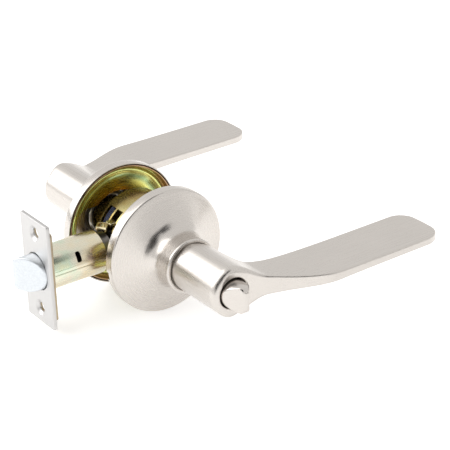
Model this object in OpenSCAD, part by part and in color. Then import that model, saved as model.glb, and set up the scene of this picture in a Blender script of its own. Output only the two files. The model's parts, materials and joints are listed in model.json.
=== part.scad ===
// Privacy lever lockset: two paddle levers on bell roses, a cylindrical chassis and a tubular latch.
// Frame: origin where the spindle axis crosses the latch axis, centred in the door.
// -X to the latch bolt, +X to the lever tips, -Y interior side, +Y exterior side, +Z up.

/* [Door] */
// Door thickness, from rose rim to rose rim
door_t = 35; // [34:0.5:36]
// Spindle axis to the back of the faceplate
backset = 60.3; // [60:0.1:61]

/* [Latch] */
// Faceplate width across the door edge
faceplate_w = 25.4; // [24:0.1:28]
// Faceplate height
faceplate_h = 57.15; // [56:0.05:58]
// Faceplate thickness
faceplate_t = 2; // [1.8:0.1:2.4]
// Distance between the two faceplate screws
screw_spacing = 41.28; // [41:0.01:42]
// Outer radius of the latch tube
tube_r = 11.25; // [11.2:0.05:11.4]
// Radius of the latch bolt
bolt_r = 9.4; // [9.2:0.05:9.5]
// How far the bolt stands out of the faceplate
bolt_throw = 10.5; // [9:0.5:11]

/* [Roses] */
// Rose radius
rose_r = 33.15; // [33.15:0.05:34]
// Height of the rose's straight rim
rim_h = 5.5; // [5:0.1:6]
// Height of the rose, door face to neck lip
rose_h = 27; // [26.5:0.1:28]
// Outer radius of the neck
neck_r = 14.2; // [14:0.05:14.4]
// Sheet thickness of the rose
rose_t = 0.7; // [0.6:0.05:0.8]

/* [Levers] */
// Radius of the lever's round shank
shank_r = 12.1; // [12:0.05:12.2]
// Door face to the end of the shank
shank_end = 62; // [60:0.5:64]
// Spindle axis to the lever's tip
lever_reach = 119; // [110:1:125]
// Door face to the paddle's inner edge
paddle_in = 48.9; // [47:0.1:50]
// Door face to the paddle's outer edge
paddle_out = 80.4; // [79:0.1:82]
// Half thickness of the paddle
paddle_half = 2.1; // [1.8:0.1:2.6]

/* [Mechanism] */
// Lever swing from rest to fully retracted, degrees
lever_swing = 50; // [45:1:50]
// Retraction of the bolt and of the retractor
travel = 10.8; // [10.6:0.1:10.8]
// Radius of the chassis shield
shield_r = 22.4; // [22.3:0.1:22.8]
// Outer radius of each spindle tube
spindle_r = 9; // [8.8:0.1:9]
// Radial clearance of a running fit
run_fit = 0.06; // [0.03:0.01:0.08]
// Gap between parts that move past each other
gap = 0.3; // [0.3:0.05:0.4]

/* [Hidden] */
$fn = 96;
EPS = 0.01;
CUT = 200;
IN = -1;
OUT = 1;

// Stations along Y, measured from the middle of the door, for one side
face_y = door_t / 2;
rim_y = face_y + rim_h;
lip_y = face_y + rose_h;
end_y = face_y + shank_end;
in_y = face_y + paddle_in;
out_y = face_y + paddle_out;
retractor_half = 2;
plate_y0 = 2.4;
plate_y1 = 3.6;
spring_y0 = 3.9;
spring_y1 = 8.7;
cam_y0 = 4.4;
cam_y1 = 6.9;
flange_y0 = 9;
flange_y1 = 10.2;
hub_y1 = 29.4;
washer_y0 = 29.55;
washer_y1 = 30.15;
clip_y0 = 30.3;
clip_y1 = 31.1;
lever_y0 = 31.6;
spindle_y1 = end_y - 13;

// Radii in the chassis
shield_in = shield_r - 1;
disc_r = shield_in - 0.05;
hub_r = 11;
spindle_in = 6.5;
cam_r = 17.6;
coil_wire = 1.6;
coil_r = 21 - coil_wire / 2;
rod_r = 2.5;
turn_hole_r = 8;
turn_r = 7.6;
liner_hole = 17;
liner_r = rose_r - rose_t - 0.15;
bush_in = shank_r + 0.1;

// Scotch yoke: a pin on each cam works in the retractor's upright slot
crank_r = travel / (2 * sin(lever_swing / 2));
pin_r = 1.8;
pin_x = -crank_r * sin(lever_swing / 2);
pin_z = crank_r * cos(lever_swing / 2);

// Places along X in the latch
plate_x0 = -backset - faceplate_t;
back_x0 = -backset;
back_x1 = back_x0 + 1.2;
tube_x1 = -28;
bolt_guide_x1 = -54.5;
tube_in = tube_r - 1;
bolt_tip = plate_x0 - bolt_throw;
bolt_rear = -50;
bolt_back_y = 6;
bolt_edge_y = 4.4;
tail_half_t = 0.6;
tail_half_w = 3;
tail_head_x = -17.5;
seat_x0 = -31;
seat_x1 = -29.7;
latch_hole_r = bolt_r + 0.5;
screw_hole_r = 2.6;
screw_sink_r = 4.2;

// Privacy lock: a spiral cam on the turn rod lifts a plunger into the interior hub
lock_y = 15.5;
lock_lift = 1.6;
lock_low = 3.6;
lock_foot = lock_low + 0.3;
lock_tip = spindle_r - 0.2;
plunger_r = 1.4;

// Liner screws
screw_at = 19.5;
screw_angles = [35, -35];

// Colours
NICKEL = [0.80, 0.78, 0.75];
ZINC = [0.86, 0.87, 0.88];
DICHROMATE = [0.72, 0.66, 0.38];
SPRING_BLACK = [0.10, 0.10, 0.13];
DARK_STEEL = [0.32, 0.30, 0.28];
BRASS = [0.75, 0.62, 0.32];
NYLON = [0.90, 0.89, 0.85];

// Places a child drawn for the exterior side on either side of the door
module on_side(side) {
    mirror([0, side < 0 ? 1 : 0, 0]) children();
}

// Turns a [radius, y] outline about the spindle axis
module lathe(outline) {
    rotate([-90, 0, 0]) rotate_extrude() polygon(outline);
}

// Round bar along Y between two stations
module bar_y(r, y0, y1) {
    translate([0, y0, 0]) rotate([-90, 0, 0]) cylinder(h = y1 - y0, r = r);
}

// Ring about the spindle axis
module ring_y(r_out, r_in, y0, y1) {
    difference() {
        bar_y(r_out, y0, y1);
        bar_y(r_in, y0 - 1, y1 + 1);
    }
}

// Round bar along X between two stations
module bar_x(r, x0, x1) {
    translate([x0, 0, 0]) rotate([0, 90, 0]) cylinder(h = x1 - x0, r = r);
}

// Flat shape drawn in X and Z, given a thickness along Y
module slab(y0, y1) {
    translate([0, y1, 0]) rotate([90, 0, 0]) linear_extrude(y1 - y0) children();
}

// Box from its lowest and highest corners
module block(low, high) {
    translate(low) cube(high - low);
}

// ---- Levers ----

function ease(t) = let (u = min(max(t, 0), 1)) u * u * (3 - 2 * u);

// Outline of the arm seen from above, and its half thickness, at a distance x from the spindle
tip_r = 9;
function corner(x) = let (d = max(0, x - (lever_reach - tip_r))) tip_r - sqrt(max(0, tip_r * tip_r - d * d));
function arm_out(x) = end_y - 0.3 + (out_y - end_y + 0.3) * ease((x - 4) / 46) - corner(x);
function arm_in(x) = max(in_y - 20, in_y + 0.2 - 18 * exp(-(x - 10) / 4)) + corner(x);
function arm_half(x) = paddle_half + 9 * exp(-x / 13);

// Stations: close together where the arm leaves the shank and where the tip turns
arm_x = concat([for (x = [1 : 1.5 : 22]) x], [for (x = [25 : 5 : 50]) x], [65, 80, 95, 109],
    [for (a = [15 : 15 : 75]) lever_reach - tip_r + tip_r * sin(a)], [lever_reach - 0.15]);

// One section of the arm: a slab with rounded edges
function arm_section(x) = let (
    y0 = arm_in(x), y1 = arm_out(x), h = arm_half(x), e = min(1.4, 0.6 * h),
    round = [0, 35, 90]
) concat(
    [for (a = round) [x, y1 - e + e * sin(90 - a), h - e + e * cos(90 - a)]],
    [for (a = round) [x, y0 + e - e * sin(a), h - e + e * cos(a)]],
    [for (a = round) [x, y0 + e - e * sin(90 - a), -h + e - e * cos(90 - a)]],
    [for (a = round) [x, y1 - e + e * sin(a), -h + e - e * cos(a)]]
);

module arm() {
    rings = [for (x = arm_x) arm_section(x)];
    n = len(rings[0]);
    m = len(rings);
    polyhedron(
        points = [for (ring = rings) each ring],
        faces = concat(
            [[for (j = [0 : n - 1]) j]],
            [[for (j = [n - 1 : -1 : 0]) (m - 1) * n + j]],
            [for (i = [0 : m - 2]) for (j = [0 : n - 1])
                [i * n + j, (i + 1) * n + j, (i + 1) * n + (j + 1) % n, i * n + (j + 1) % n]]
        )
    );
}

module lever(side) {
    end_round = 1.5;
    color(NICKEL) on_side(side) difference() {
        union() {
            lathe(concat([[0, lever_y0], [shank_r - 0.4, lever_y0], [shank_r, lever_y0 + 0.4]],
                [for (a = [0 : 15 : 90]) [shank_r - end_round + end_round * cos(a),
                    end_y - end_round + end_round * sin(a)]], [[0, end_y]]));
            arm();
        }
        bar_y(spindle_r + 0.05, lever_y0 - 1, spindle_y1 + 0.5);
        bar_y(turn_hole_r, lever_y0, end_y + 1);
        set_screw_at(2.05);
    }
}

module set_screw_at(r) {
    translate([0, 56, -shank_r - 0.5]) cylinder(h = shank_r - spindle_r + 0.4, r = r);
}

module set_screw(side) {
    hex_r = 1.2;
    color(DARK_STEEL) on_side(side) translate([0, 56, -shank_r + 0.6]) difference() {
        cylinder(h = shank_r - spindle_r - 0.75, r = 2);
        translate([0, 0, -1]) cylinder(h = 2.2, r = hex_r, $fn = 6);
    }
}

module interior_lever() { lever(IN); }
module exterior_lever() { lever(OUT); }
module interior_set_screw() { set_screw(IN); }
module exterior_set_screw() { set_screw(OUT); }

// ---- Roses and liners ----

// Slightly hollow face of the rose, and the fillet from it to the straight neck, by surface tilt
bell_rim_tilt = 14;
bell_knee_tilt = 26;
bell_fillet = 9.4;
bell_face = (rose_r - neck_r - bell_fillet * (1 - sin(bell_knee_tilt)))
    / (sin(bell_knee_tilt) - sin(bell_rim_tilt));
bell_y = rim_y + bell_face * cos(bell_rim_tilt) - (bell_face - bell_fillet) * cos(bell_knee_tilt);
function along(tilt) = [sin(tilt), cos(tilt)];
function bell(tilt, sheet) = let (
        face = tilt < bell_knee_tilt,
        centre = [neck_r + bell_fillet, bell_y]
            + (face ? bell_face - bell_fillet : 0) * along(bell_knee_tilt))
    centre - ((face ? bell_face : bell_fillet) + sheet) * along(tilt);
bell_tilts = [17, 20, 23, 26, 34, 42, 50, 58, 66, 74, 82, 90];

module rose(side) {
    lip_in = shank_r + 0.5;
    notch_w = 4.5;
    color(NICKEL) on_side(side) difference() {
        lathe(concat(
            [[rose_r, face_y], [rose_r, rim_y - 0.4], [rose_r - 0.5, rim_y + 0.1]],
            [for (tilt = bell_tilts) bell(tilt, 0)],
            [[neck_r, lip_y - 1.7], [neck_r + 0.3, lip_y - 1.2], [neck_r + 0.3, lip_y - 0.6],
                [neck_r - 0.2, lip_y], [lip_in + 0.5, lip_y], [lip_in, lip_y - 0.5],
                [lip_in, lip_y - 1.2], [neck_r - rose_t, lip_y - 1.2]],
            [for (i = [1 : len(bell_tilts)]) bell(bell_tilts[len(bell_tilts) - i], rose_t)],
            [[rose_r - rose_t, rim_y - 0.55], [rose_r - rose_t, face_y]]
        ));
        block([-rose_r - 1, face_y - 1, -5 - notch_w / 2], [-rose_r + 3, face_y + 1.6, -5 + notch_w / 2]);
    }
}

module neck_bushing(side) {
    color(NYLON) on_side(side) ring_y(neck_r - rose_t, bush_in, lip_y - 7, lip_y - 1.3);
}

// Dished liner that fills the back of the rose and bears on the door with its rim
module liner(side) {
    rim = liner_r;
    y = face_y;
    slot_half = 12;
    slot_end = 26.3;
    color(DICHROMATE) on_side(side) difference() {
        lathe([[rim, y], [rim - 1.1, y], [rim - 1.1, y + 3.7], [rim - 2.1, y + 4.1],
            [rim - 2.9, y + 3.1], [rim - 3.7, y + 2.7], [rim - 4.7, y + 3], [rim - 6.8, y + 4.3],
            [rim - 9.3, y + 4.9], [liner_hole, y + 5], [liner_hole, y + 6], [rim - 9.1, y + 5.9],
            [rim - 6.3, y + 5.3], [rim - 4.4, y + 4.1], [rim - 3.6, y + 3.8], [rim - 3.1, y + 4.3],
            [rim - 2.3, y + 5.2], [rim, y + 5]]);
        intersection() {
            block([-CUT, y - 1, -slot_half], [0, y + 8, slot_half]);
            bar_y(slot_end, y - 1, y + 8);
        }
        for (a = screw_angles) screw_place(a) bar_y(2.2, y, y + 8);
    }
}

module screw_place(angle) {
    translate([screw_at * cos(angle), 0, screw_at * sin(angle)]) children();
}

module liner_screws(side) {
    head_y = face_y + 6;
    color(ZINC) on_side(side) for (a = screw_angles) screw_place(a) difference() {
        union() {
            bar_y(2, flange_y1 + 1, head_y);
            bar_y(3.4, head_y, head_y + 2);
        }
        block([-CUT, head_y + 1, -0.5], [CUT, head_y + 3, 0.5]);
        block([-0.5, head_y + 1, -CUT], [0.5, head_y + 3, CUT]);
    }
}

module screw_posts(side) {
    color(ZINC) on_side(side) for (a = screw_angles) screw_place(a)
        ring_y(3.2, 2, flange_y1, face_y + 4.9);
}

module interior_rose() { rose(IN); }
module exterior_rose() { rose(OUT); }
module interior_neck_bushing() { neck_bushing(IN); }
module exterior_neck_bushing() { neck_bushing(OUT); }
module interior_liner() { liner(IN); }
module exterior_liner() { liner(OUT); }
module interior_liner_screws() { liner_screws(IN); }
module exterior_liner_screws() { liner_screws(OUT); }
module interior_screw_posts() { screw_posts(IN); }
module exterior_screw_posts() { screw_posts(OUT); }

// ---- Spindles ----

module spindle(side) {
    color(ZINC) on_side(side) difference() {
        ring_y(spindle_r, spindle_in, cam_y0, spindle_y1);
        ring_y(spindle_r + 1, spindle_r - 0.5, clip_y0, clip_y1);
        if (side == IN) lock_bore(plunger_r + 0.05);
    }
}

// Radial bore for the lock plunger, straight up
module lock_bore(r) {
    translate([0, lock_y, 0]) cylinder(h = 20, r = r);
}

// Arc slot in the hub: the plunger stands in it and swings along it with the lever
module lock_slot(r) {
    past = asin(r / spindle_r);
    translate([0, lock_y - r, 0]) rotate([-90, 0, 0]) rotate([0, 0, -90 - past])
        rotate_extrude(angle = lever_swing + 2 * past)
            translate([spindle_r - 1, 0]) square([hub_r - spindle_r + 2, 2 * r]);
}

module cam(side) {
    color(DARK_STEEL) on_side(side) difference() {
        ring_y(cam_r, spindle_r, cam_y0, cam_y1);
        translate([pin_x, 0, pin_z]) bar_y(pin_r, 0, CUT);
    }
}

module drive_pin(side) {
    color(ZINC) on_side(side) translate([pin_x, 0, pin_z]) bar_y(pin_r, gap / 2, cam_y1);
}

module hub(side) {
    color(DICHROMATE) on_side(side) difference() {
        ring_y(hub_r, spindle_r + run_fit, flange_y0, hub_y1);
        if (side == IN) lock_slot(plunger_r + 0.2);
    }
}

module thrust_washer(side) {
    color(BRASS) on_side(side) ring_y(hub_r, spindle_r + run_fit, washer_y0, washer_y1);
}

module retaining_ring(side) {
    color(DARK_STEEL) on_side(side) difference() {
        ring_y(hub_r - 0.2, spindle_r - 0.5, clip_y0, clip_y1);
        block([-2.5, clip_y0 - 1, 0], [2.5, clip_y1 + 1, CUT]);
    }
}

module interior_spindle() { spindle(IN); }
module exterior_spindle() { spindle(OUT); }
module interior_cam() { cam(IN); }
module exterior_cam() { cam(OUT); }
module interior_drive_pin() { drive_pin(IN); }
module exterior_drive_pin() { drive_pin(OUT); }
module interior_hub() { hub(IN); }
module exterior_hub() { hub(OUT); }
module interior_thrust_washer() { thrust_washer(IN); }
module exterior_thrust_washer() { thrust_washer(OUT); }
module interior_retaining_ring() { retaining_ring(IN); }
module exterior_retaining_ring() { retaining_ring(OUT); }

// ---- Chassis ----

// Torsion spring drawn as touching turns, with one leg down to the spring plate
module torsion_spring(side) {
    turns = 3;
    pitch = (spring_y1 - spring_y0 - coil_wire) / (turns - 1) - EPS;
    color(SPRING_BLACK) on_side(side) union() {
        for (i = [0 : turns - 1])
            translate([0, spring_y0 + coil_wire / 2 + i * pitch, 0])
                rotate([-90, 0, 0]) rotate_extrude() translate([coil_r, 0]) circle(r = coil_wire / 2);
        rotate([0, 60, 0]) translate([coil_r, 0, 0])
            bar_y(coil_wire / 2 - 0.1, spring_y1 - coil_wire, flange_y0);
    }
}

module spring_plate(side) {
    color(DICHROMATE) on_side(side) ring_y(disc_r, hub_r, flange_y0, flange_y1);
}

// Plate beside the retractor, with the arc slot that lets the drive pin through and stops it
module housing_plate(side) {
    slot_w = pin_r + gap;
    half = lever_swing / 2;
    color(DICHROMATE) on_side(side) difference() {
        ring_y(disc_r, rod_r + 1, plate_y0, plate_y1);
        translate([0, plate_y0 - 1, 0]) rotate([-90, 0, 0]) rotate([0, 0, -90 - half])
            rotate_extrude(angle = 2 * half) translate([crank_r - slot_w, 0]) square([2 * slot_w, 4]);
        for (a = [-half, half]) rotate([0, a, 0]) translate([0, 0, crank_r]) bar_y(slot_w, 0, CUT);
    }
}

module chassis_shield() {
    window = 110;
    color(DICHROMATE) rotate([-90, 0, 0]) rotate([0, 0, window / 2 - 180])
        rotate_extrude(angle = 360 - window) translate([shield_in, -flange_y1])
            square([1, 2 * flange_y1]);
}

// Upright yoke slot above, jaw for the latch tail at the left, window for the turn rod
module retractor() {
    h = retractor_half;
    jaw_x = tail_head_x - 1.7;
    slot_half = pin_r + gap + 0.1;
    head_half = 6 + gap;
    color(DARK_STEEL) difference() {
        slab(-h, h) difference() {
            union() {
                translate([jaw_x, -8]) square([5 - jaw_x, 16]);
                translate([pin_x - 5, 0]) square([10, 17.2]);
            }
            translate([-travel - rod_r - 0.8, -rod_r - 0.7])
                square([travel + 2 * rod_r + 1.6, 2 * rod_r + 1.4]);
            translate([pin_x - slot_half, pin_z - pin_r - 0.6])
                square([2 * slot_half, crank_r - pin_z + 2 * pin_r + 1.2]);
        }
        block([jaw_x - 1, -tail_half_t - gap, -tail_half_w - gap],
            [tail_head_x - gap + EPS, tail_half_t + gap, tail_half_w + gap]);
        block([tail_head_x - gap, -tail_half_t - gap, -head_half],
            [tail_head_x + 1.5 + gap, tail_half_t + gap, head_half]);
    }
}

module retractor_guides() {
    y = plate_y0;
    color(DARK_STEEL) {
        block([-14, -y, -9.5], [17, y, -8 - gap]);
        block([-9, -y, 17.2 + gap], [9, y, 19]);
    }
}

abutment_x = 19.2;
module spring_abutment() {
    color(DICHROMATE) block([abutment_x, -plate_y0, -7], [abutment_x + 1, plate_y0, 7]);
}

module retractor_springs() {
    color(SPRING_BLACK) for (z = [-4.9, 4.9]) translate([0, 0, z]) difference() {
        bar_x(1.8, 5, abutment_x);
        bar_x(1.2, 4, abutment_x + 1);
    }
}

// Folded diamond loop over the end of the latch tube, with a tongue between the housing plates
module latch_bracket() {
    cx = -23.3;
    dx = 4;
    dy = 4.1;
    z0 = 11.5;
    wall_h = 1.8;
    floor_t = 0.6;
    module diamond(k) { polygon([[-dx * k, 0], [0, -dy * k], [dx * k, 0], [0, dy * k]]); }
    color(DICHROMATE) union() {
        translate([cx, 0, z0]) linear_extrude(wall_h) difference() {
            diamond(1);
            diamond(0.78);
        }
        translate([cx, 0, z0]) linear_extrude(floor_t) diamond(0.9);
        block([cx + dx - 0.6, -plate_y0, z0 + floor_t], [-15.6, plate_y0, z0 + wall_h]);
    }
}

module bracket_rivet() {
    color(ZINC) translate([-23.3, 0, 12.1]) cylinder(h = 1.1, r = 0.8);
}

module interior_spring() { torsion_spring(IN); }
module exterior_spring() { torsion_spring(OUT); }
module interior_spring_plate() { spring_plate(IN); }
module exterior_spring_plate() { spring_plate(OUT); }
module interior_housing_plate() { housing_plate(IN); }
module exterior_housing_plate() { housing_plate(OUT); }

// ---- Privacy lock ----

plug_y0 = end_y - 8.5;
turn_base_y = end_y - 3;
turn_tip_y = end_y + 10.5;

// Round button whose two flats taper to the edge that is pinched
module thumb_turn() {
    tip_half_t = 1.5;
    flat_y0 = end_y - 1;
    button_r = turn_r - 0.3;
    corner = 3.5;
    color(NICKEL) on_side(IN) difference() {
        union() {
            lathe([[0, plug_y0], [turn_r, plug_y0], [turn_r, turn_base_y], [0, turn_base_y]]);
            intersection() {
                bar_y(button_r, turn_base_y - 1, turn_tip_y);
                linear_extrude(2 * turn_r, center = true)
                    polygon([[-turn_r, turn_base_y - 2], [turn_r, turn_base_y - 2], [turn_r, flat_y0],
                        [tip_half_t, turn_tip_y], [-tip_half_t, turn_tip_y], [-turn_r, flat_y0]]);
                translate([-turn_r, 0, 0]) rotate([90, 0, 90]) linear_extrude(2 * turn_r) union() {
                    translate([turn_base_y - 2, -turn_r])
                        square([turn_tip_y - corner - turn_base_y + 2, 2 * turn_r]);
                    translate([turn_tip_y - corner - EPS, -turn_r + corner])
                        square([corner + EPS, 2 * (turn_r - corner)]);
                    for (s = [-1, 1]) translate([turn_tip_y - corner, s * (turn_r - corner)])
                        circle(r = corner);
                }
            }
        }
        bar_y(rod_r, 0, end_y - 5);
    }
}

rod_in_y = end_y - 5;
rod_out_y = end_y - 11;
module turn_rod() {
    color(ZINC) difference() {
        bar_y(rod_r, -rod_in_y, rod_out_y);
        block([-0.5, rod_out_y - 2, -CUT], [0.5, rod_out_y + 1, CUT]);
    }
}

module rod_bushing(side) {
    color(NYLON) on_side(side) ring_y(turn_hole_r, rod_r + run_fit, spindle_y1 + 0.6, end_y - 9);
}

module turn_bushing() { rod_bushing(IN); }
module release_bushing() { rod_bushing(OUT); }

// Plug in the exterior lever's end, with the hole for the release key
module release_plug() {
    color(NICKEL) difference() {
        lathe([[0, plug_y0], [turn_hole_r, plug_y0], [turn_hole_r, end_y - 1.2],
            [turn_hole_r - 0.7, end_y - 0.5], [0, end_y - 0.5]]);
        bar_y(2, end_y - 10, end_y + 1);
    }
}

// Spiral cam: its radius grows over a quarter turn, so the plunger's lift follows the turn
function lock_radius(a) = a <= 90 ? lock_low + lock_lift * a / 90
    : lock_low + lock_lift * (1 - (a - 90) / 270);
module lock_cam() {
    color(DARK_STEEL) difference() {
        slab(-lock_y - 1.5, -lock_y + 1.5)
            polygon([for (a = [0 : 10 : 350]) lock_radius(a) * [sin(a), cos(a)]]);
        bar_y(rod_r, -CUT, CUT);
    }
}

module lock_plunger() {
    color(ZINC) translate([0, -lock_y, lock_foot]) cylinder(h = lock_tip - lock_foot, r = plunger_r);
}

// ---- Latch ----

module faceplate() {
    color(NICKEL) difference() {
        block([plate_x0, -faceplate_w / 2, -faceplate_h / 2], [back_x0, faceplate_w / 2, faceplate_h / 2]);
        bar_x(latch_hole_r, plate_x0 - 1, 0);
        for (s = [-1, 1]) translate([0, 0, s * screw_spacing / 2]) {
            bar_x(screw_hole_r, plate_x0 - 1, 0);
            translate([plate_x0 - EPS, 0, 0]) rotate([0, 90, 0])
                cylinder(h = 1, r1 = screw_sink_r, r2 = screw_hole_r);
        }
    }
}

module back_plate() {
    half_h = 24;
    color(DICHROMATE) difference() {
        block([back_x0, -faceplate_w / 2 + 0.4, -half_h], [back_x1, faceplate_w / 2 - 0.4, half_h]);
        bar_x(tube_r, -CUT, 0);
        for (s = [-1, 1]) translate([0, 0, s * screw_spacing / 2]) bar_x(screw_hole_r + 0.7, -CUT, 0);
    }
}

// Rolled tube through the back plate, with a window, a joggled seam and a drain hole
module latch_tube() {
    color(ZINC) difference() {
        bar_x(tube_r, back_x0, tube_x1);
        bar_x(tube_in, back_x0 - 1, tube_x1 + 1);
        block([-45, -CUT, 3.2], [-42.4, -4, 8]);
        translate([-43, -3, -CUT]) cylinder(h = CUT, r = 1.3);
        for (z = [0.3, 2.2]) block([-58, -tube_r - 1, z - 0.25], [-34, -tube_r + 0.4, z + 0.25]);
    }
}

module bolt_guide() {
    color(NYLON) difference() {
        bar_x(tube_in, back_x0 + 0.1, bolt_guide_x1);
        bar_x(bolt_r + run_fit, -CUT, 0);
    }
}

// Half-round spring bolt: flat back towards the exterior, bevel towards the interior
module latch_bolt() {
    bevel_y = -bolt_r;
    color(ZINC) difference() {
        bar_x(bolt_r, bolt_tip, bolt_rear);
        block([-CUT, bolt_back_y, -CUT], [0, CUT, CUT]);
        translate([0, 0, -CUT / 2]) linear_extrude(CUT)
            polygon([[bolt_tip - EPS, bolt_edge_y], [bolt_tip - 20, bolt_edge_y], [bolt_tip - 20, -30],
                [plate_x0 - 0.3 + 20, -30], [plate_x0 - 0.3, bevel_y]]);
        block([bolt_rear - 6, -tail_half_t, -tail_half_w], [0, tail_half_t, tail_half_w]);
    }
}

module bolt_tail() {
    color(ZINC) union() {
        block([bolt_rear - 6, -tail_half_t, -tail_half_w], [tail_head_x, tail_half_t, tail_half_w]);
        block([tail_head_x - EPS, -tail_half_t, -6], [tail_head_x + 1.5, tail_half_t, 6]);
    }
}

module bolt_spring() {
    color(DARK_STEEL) difference() {
        bar_x(7.2, bolt_rear, seat_x0);
        bar_x(6.2, bolt_rear - 1, seat_x0 + 1);
    }
}

module tail_slot() {
    block([-CUT, -tail_half_t - gap, -tail_half_w - gap], [0, tail_half_t + gap, tail_half_w + gap]);
}

module spring_seat() {
    color(ZINC) difference() {
        bar_x(tube_in, seat_x0, seat_x1);
        tail_slot();
    }
}

// Stepped end of the latch tube that steers the tail into the chassis
module tail_guide() {
    color(DARK_STEEL) difference() {
        union() {
            bar_x(tube_in, seat_x1, tube_x1);
            bar_x(9, tube_x1 - EPS, -22.8);
        }
        bar_x(7.8, tube_x1 - 0.4, 0);
        tail_slot();
    }
}

interior_lever();
exterior_lever();
interior_rose();
exterior_rose();
interior_liner();
exterior_liner();
interior_liner_screws();
exterior_liner_screws();
interior_screw_posts();
exterior_screw_posts();
interior_neck_bushing();
exterior_neck_bushing();
interior_spindle();
exterior_spindle();
interior_cam();
exterior_cam();
interior_drive_pin();
exterior_drive_pin();
interior_hub();
exterior_hub();
interior_thrust_washer();
exterior_thrust_washer();
interior_retaining_ring();
exterior_retaining_ring();
interior_set_screw();
exterior_set_screw();
interior_spring();
exterior_spring();
interior_spring_plate();
exterior_spring_plate();
interior_housing_plate();
exterior_housing_plate();
chassis_shield();
retractor();
retractor_guides();
retractor_springs();
spring_abutment();
latch_bracket();
bracket_rivet();
thumb_turn();
turn_rod();
turn_bushing();
release_bushing();
release_plug();
lock_cam();
lock_plunger();
faceplate();
back_plate();
latch_tube();
bolt_guide();
latch_bolt();
bolt_tail();
bolt_spring();
spring_seat();
tail_guide();
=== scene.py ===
"""Looks of a privacy lever lockset: paddle levers, bell roses, chassis and tubular latch.

Lengths in this script are millimetres until a mesh is built, which scales them to metres.
Outlines are drawn for the exterior side (+Y) and mirrored for the interior side (-Y).
"""

import json
import math

import bmesh
import bpy
import numpy as np
from mathutils import Matrix, Vector


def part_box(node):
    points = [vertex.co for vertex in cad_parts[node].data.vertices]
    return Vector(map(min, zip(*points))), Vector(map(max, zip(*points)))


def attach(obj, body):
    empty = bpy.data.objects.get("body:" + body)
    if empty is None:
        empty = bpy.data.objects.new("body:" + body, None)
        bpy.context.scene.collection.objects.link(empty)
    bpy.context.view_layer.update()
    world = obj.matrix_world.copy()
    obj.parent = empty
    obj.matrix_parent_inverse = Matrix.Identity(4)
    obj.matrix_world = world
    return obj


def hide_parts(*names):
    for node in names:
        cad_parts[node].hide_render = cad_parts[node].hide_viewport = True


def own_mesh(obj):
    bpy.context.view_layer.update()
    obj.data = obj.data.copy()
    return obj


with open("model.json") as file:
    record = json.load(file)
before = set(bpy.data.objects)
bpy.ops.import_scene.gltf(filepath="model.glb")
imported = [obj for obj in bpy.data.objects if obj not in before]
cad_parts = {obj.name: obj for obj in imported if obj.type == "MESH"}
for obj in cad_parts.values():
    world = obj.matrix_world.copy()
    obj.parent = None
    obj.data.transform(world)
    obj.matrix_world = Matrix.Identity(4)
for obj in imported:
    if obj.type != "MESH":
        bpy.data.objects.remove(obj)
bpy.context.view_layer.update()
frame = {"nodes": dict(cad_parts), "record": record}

MM = 0.001
SIDES = {"interior": -1, "exterior": 1}


def span(node):
    """Lowest and highest corner of a CAD node, in millimetres."""
    low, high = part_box(node)
    return low / MM, high / MM


# ---- Sizes taken from the frame ----

rose_low, rose_high = span("exterior_rose")
lever_low, lever_high = span("exterior_lever")
plug_low, plug_high = span("release_plug")
FACE = rose_low.y
LIP = rose_high.y
ROSE_R = rose_high.x
SHANK_R = -lever_low.x
SHANK_Y0 = lever_low.y
SHANK_END = plug_high.y + 0.5
REACH = lever_high.x
PADDLE_OUT = lever_high.y
TURN_HOLE_R = plug_high.x
SPINDLE_BORE = span("exterior_spindle")[1].x + 0.05
BORE_END = span("exterior_spindle")[1].y + 0.5


# ---- Sizes that the frame doesn't give ----

PADDLE_WIDTH = 31.5
PADDLE_IN = PADDLE_OUT - PADDLE_WIDTH
PADDLE_HALF = 2.1
PLATE_SCREW_Z = 20.64


# ---- Outlines ----

def rounded(corners, steps=5):
    """Closed outline from (a, b, radius) corners, each one rounded by its radius."""
    outline = []
    for i, (a, b, radius) in enumerate(corners):
        point = Vector((a, b))
        if radius == 0:
            outline.append((a, b))
            continue
        before = (Vector(corners[i - 1][:2]) - point).normalized()
        after = (Vector(corners[(i + 1) % len(corners)][:2]) - point).normalized()
        half = before.angle(after) / 2
        centre = point + (before + after).normalized() * radius / math.sin(half)
        start = point + before * radius / math.tan(half) - centre
        end = point + after * radius / math.tan(half) - centre
        first = math.atan2(start.y, start.x)
        sweep = math.remainder(math.atan2(end.y, end.x) - first, math.tau)
        for k in range(steps + 1):
            angle = first + sweep * k / steps
            outline.append((centre.x + radius * math.cos(angle), centre.y + radius * math.sin(angle)))
    return outline


def flowing(points, steps=4):
    """Smooth curve through the points, without the last one."""
    ends = [points[0]] + list(points) + [points[-1]]
    curve = []
    for p0, p1, p2, p3 in zip(ends, ends[1:], ends[2:], ends[3:]):
        for k in range(steps):
            t = k / steps
            curve.append(tuple(
                0.5 * (2 * b + (c - a) * t + (2 * a - 5 * b + 4 * c - d) * t * t
                       + (3 * b - a - 3 * c + d) * t ** 3)
                for a, b, c, d in zip(p0, p1, p2, p3)))
    return curve


def circle(radius, count=72):
    return [(radius * math.cos(math.tau * i / count), radius * math.sin(math.tau * i / count))
            for i in range(count)]


# ---- Meshes ----

def solid(name, points, faces, merge=1e-4):
    """Mesh in metres from millimetre points, with its faces turned outwards."""
    bm = bmesh.new()
    made = [bm.verts.new(p) for p in points]
    for face in faces:
        bm.faces.new([made[i] for i in face])
    return sealed(name, bm, merge)


def sealed(name, bm, merge=1e-4):
    bmesh.ops.remove_doubles(bm, verts=bm.verts, dist=merge)
    bmesh.ops.recalc_face_normals(bm, faces=bm.faces)
    bmesh.ops.scale(bm, vec=(MM, MM, MM), verts=bm.verts)
    mesh = bpy.data.meshes.new(name)
    bm.to_mesh(mesh)
    bm.free()
    return mesh


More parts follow.
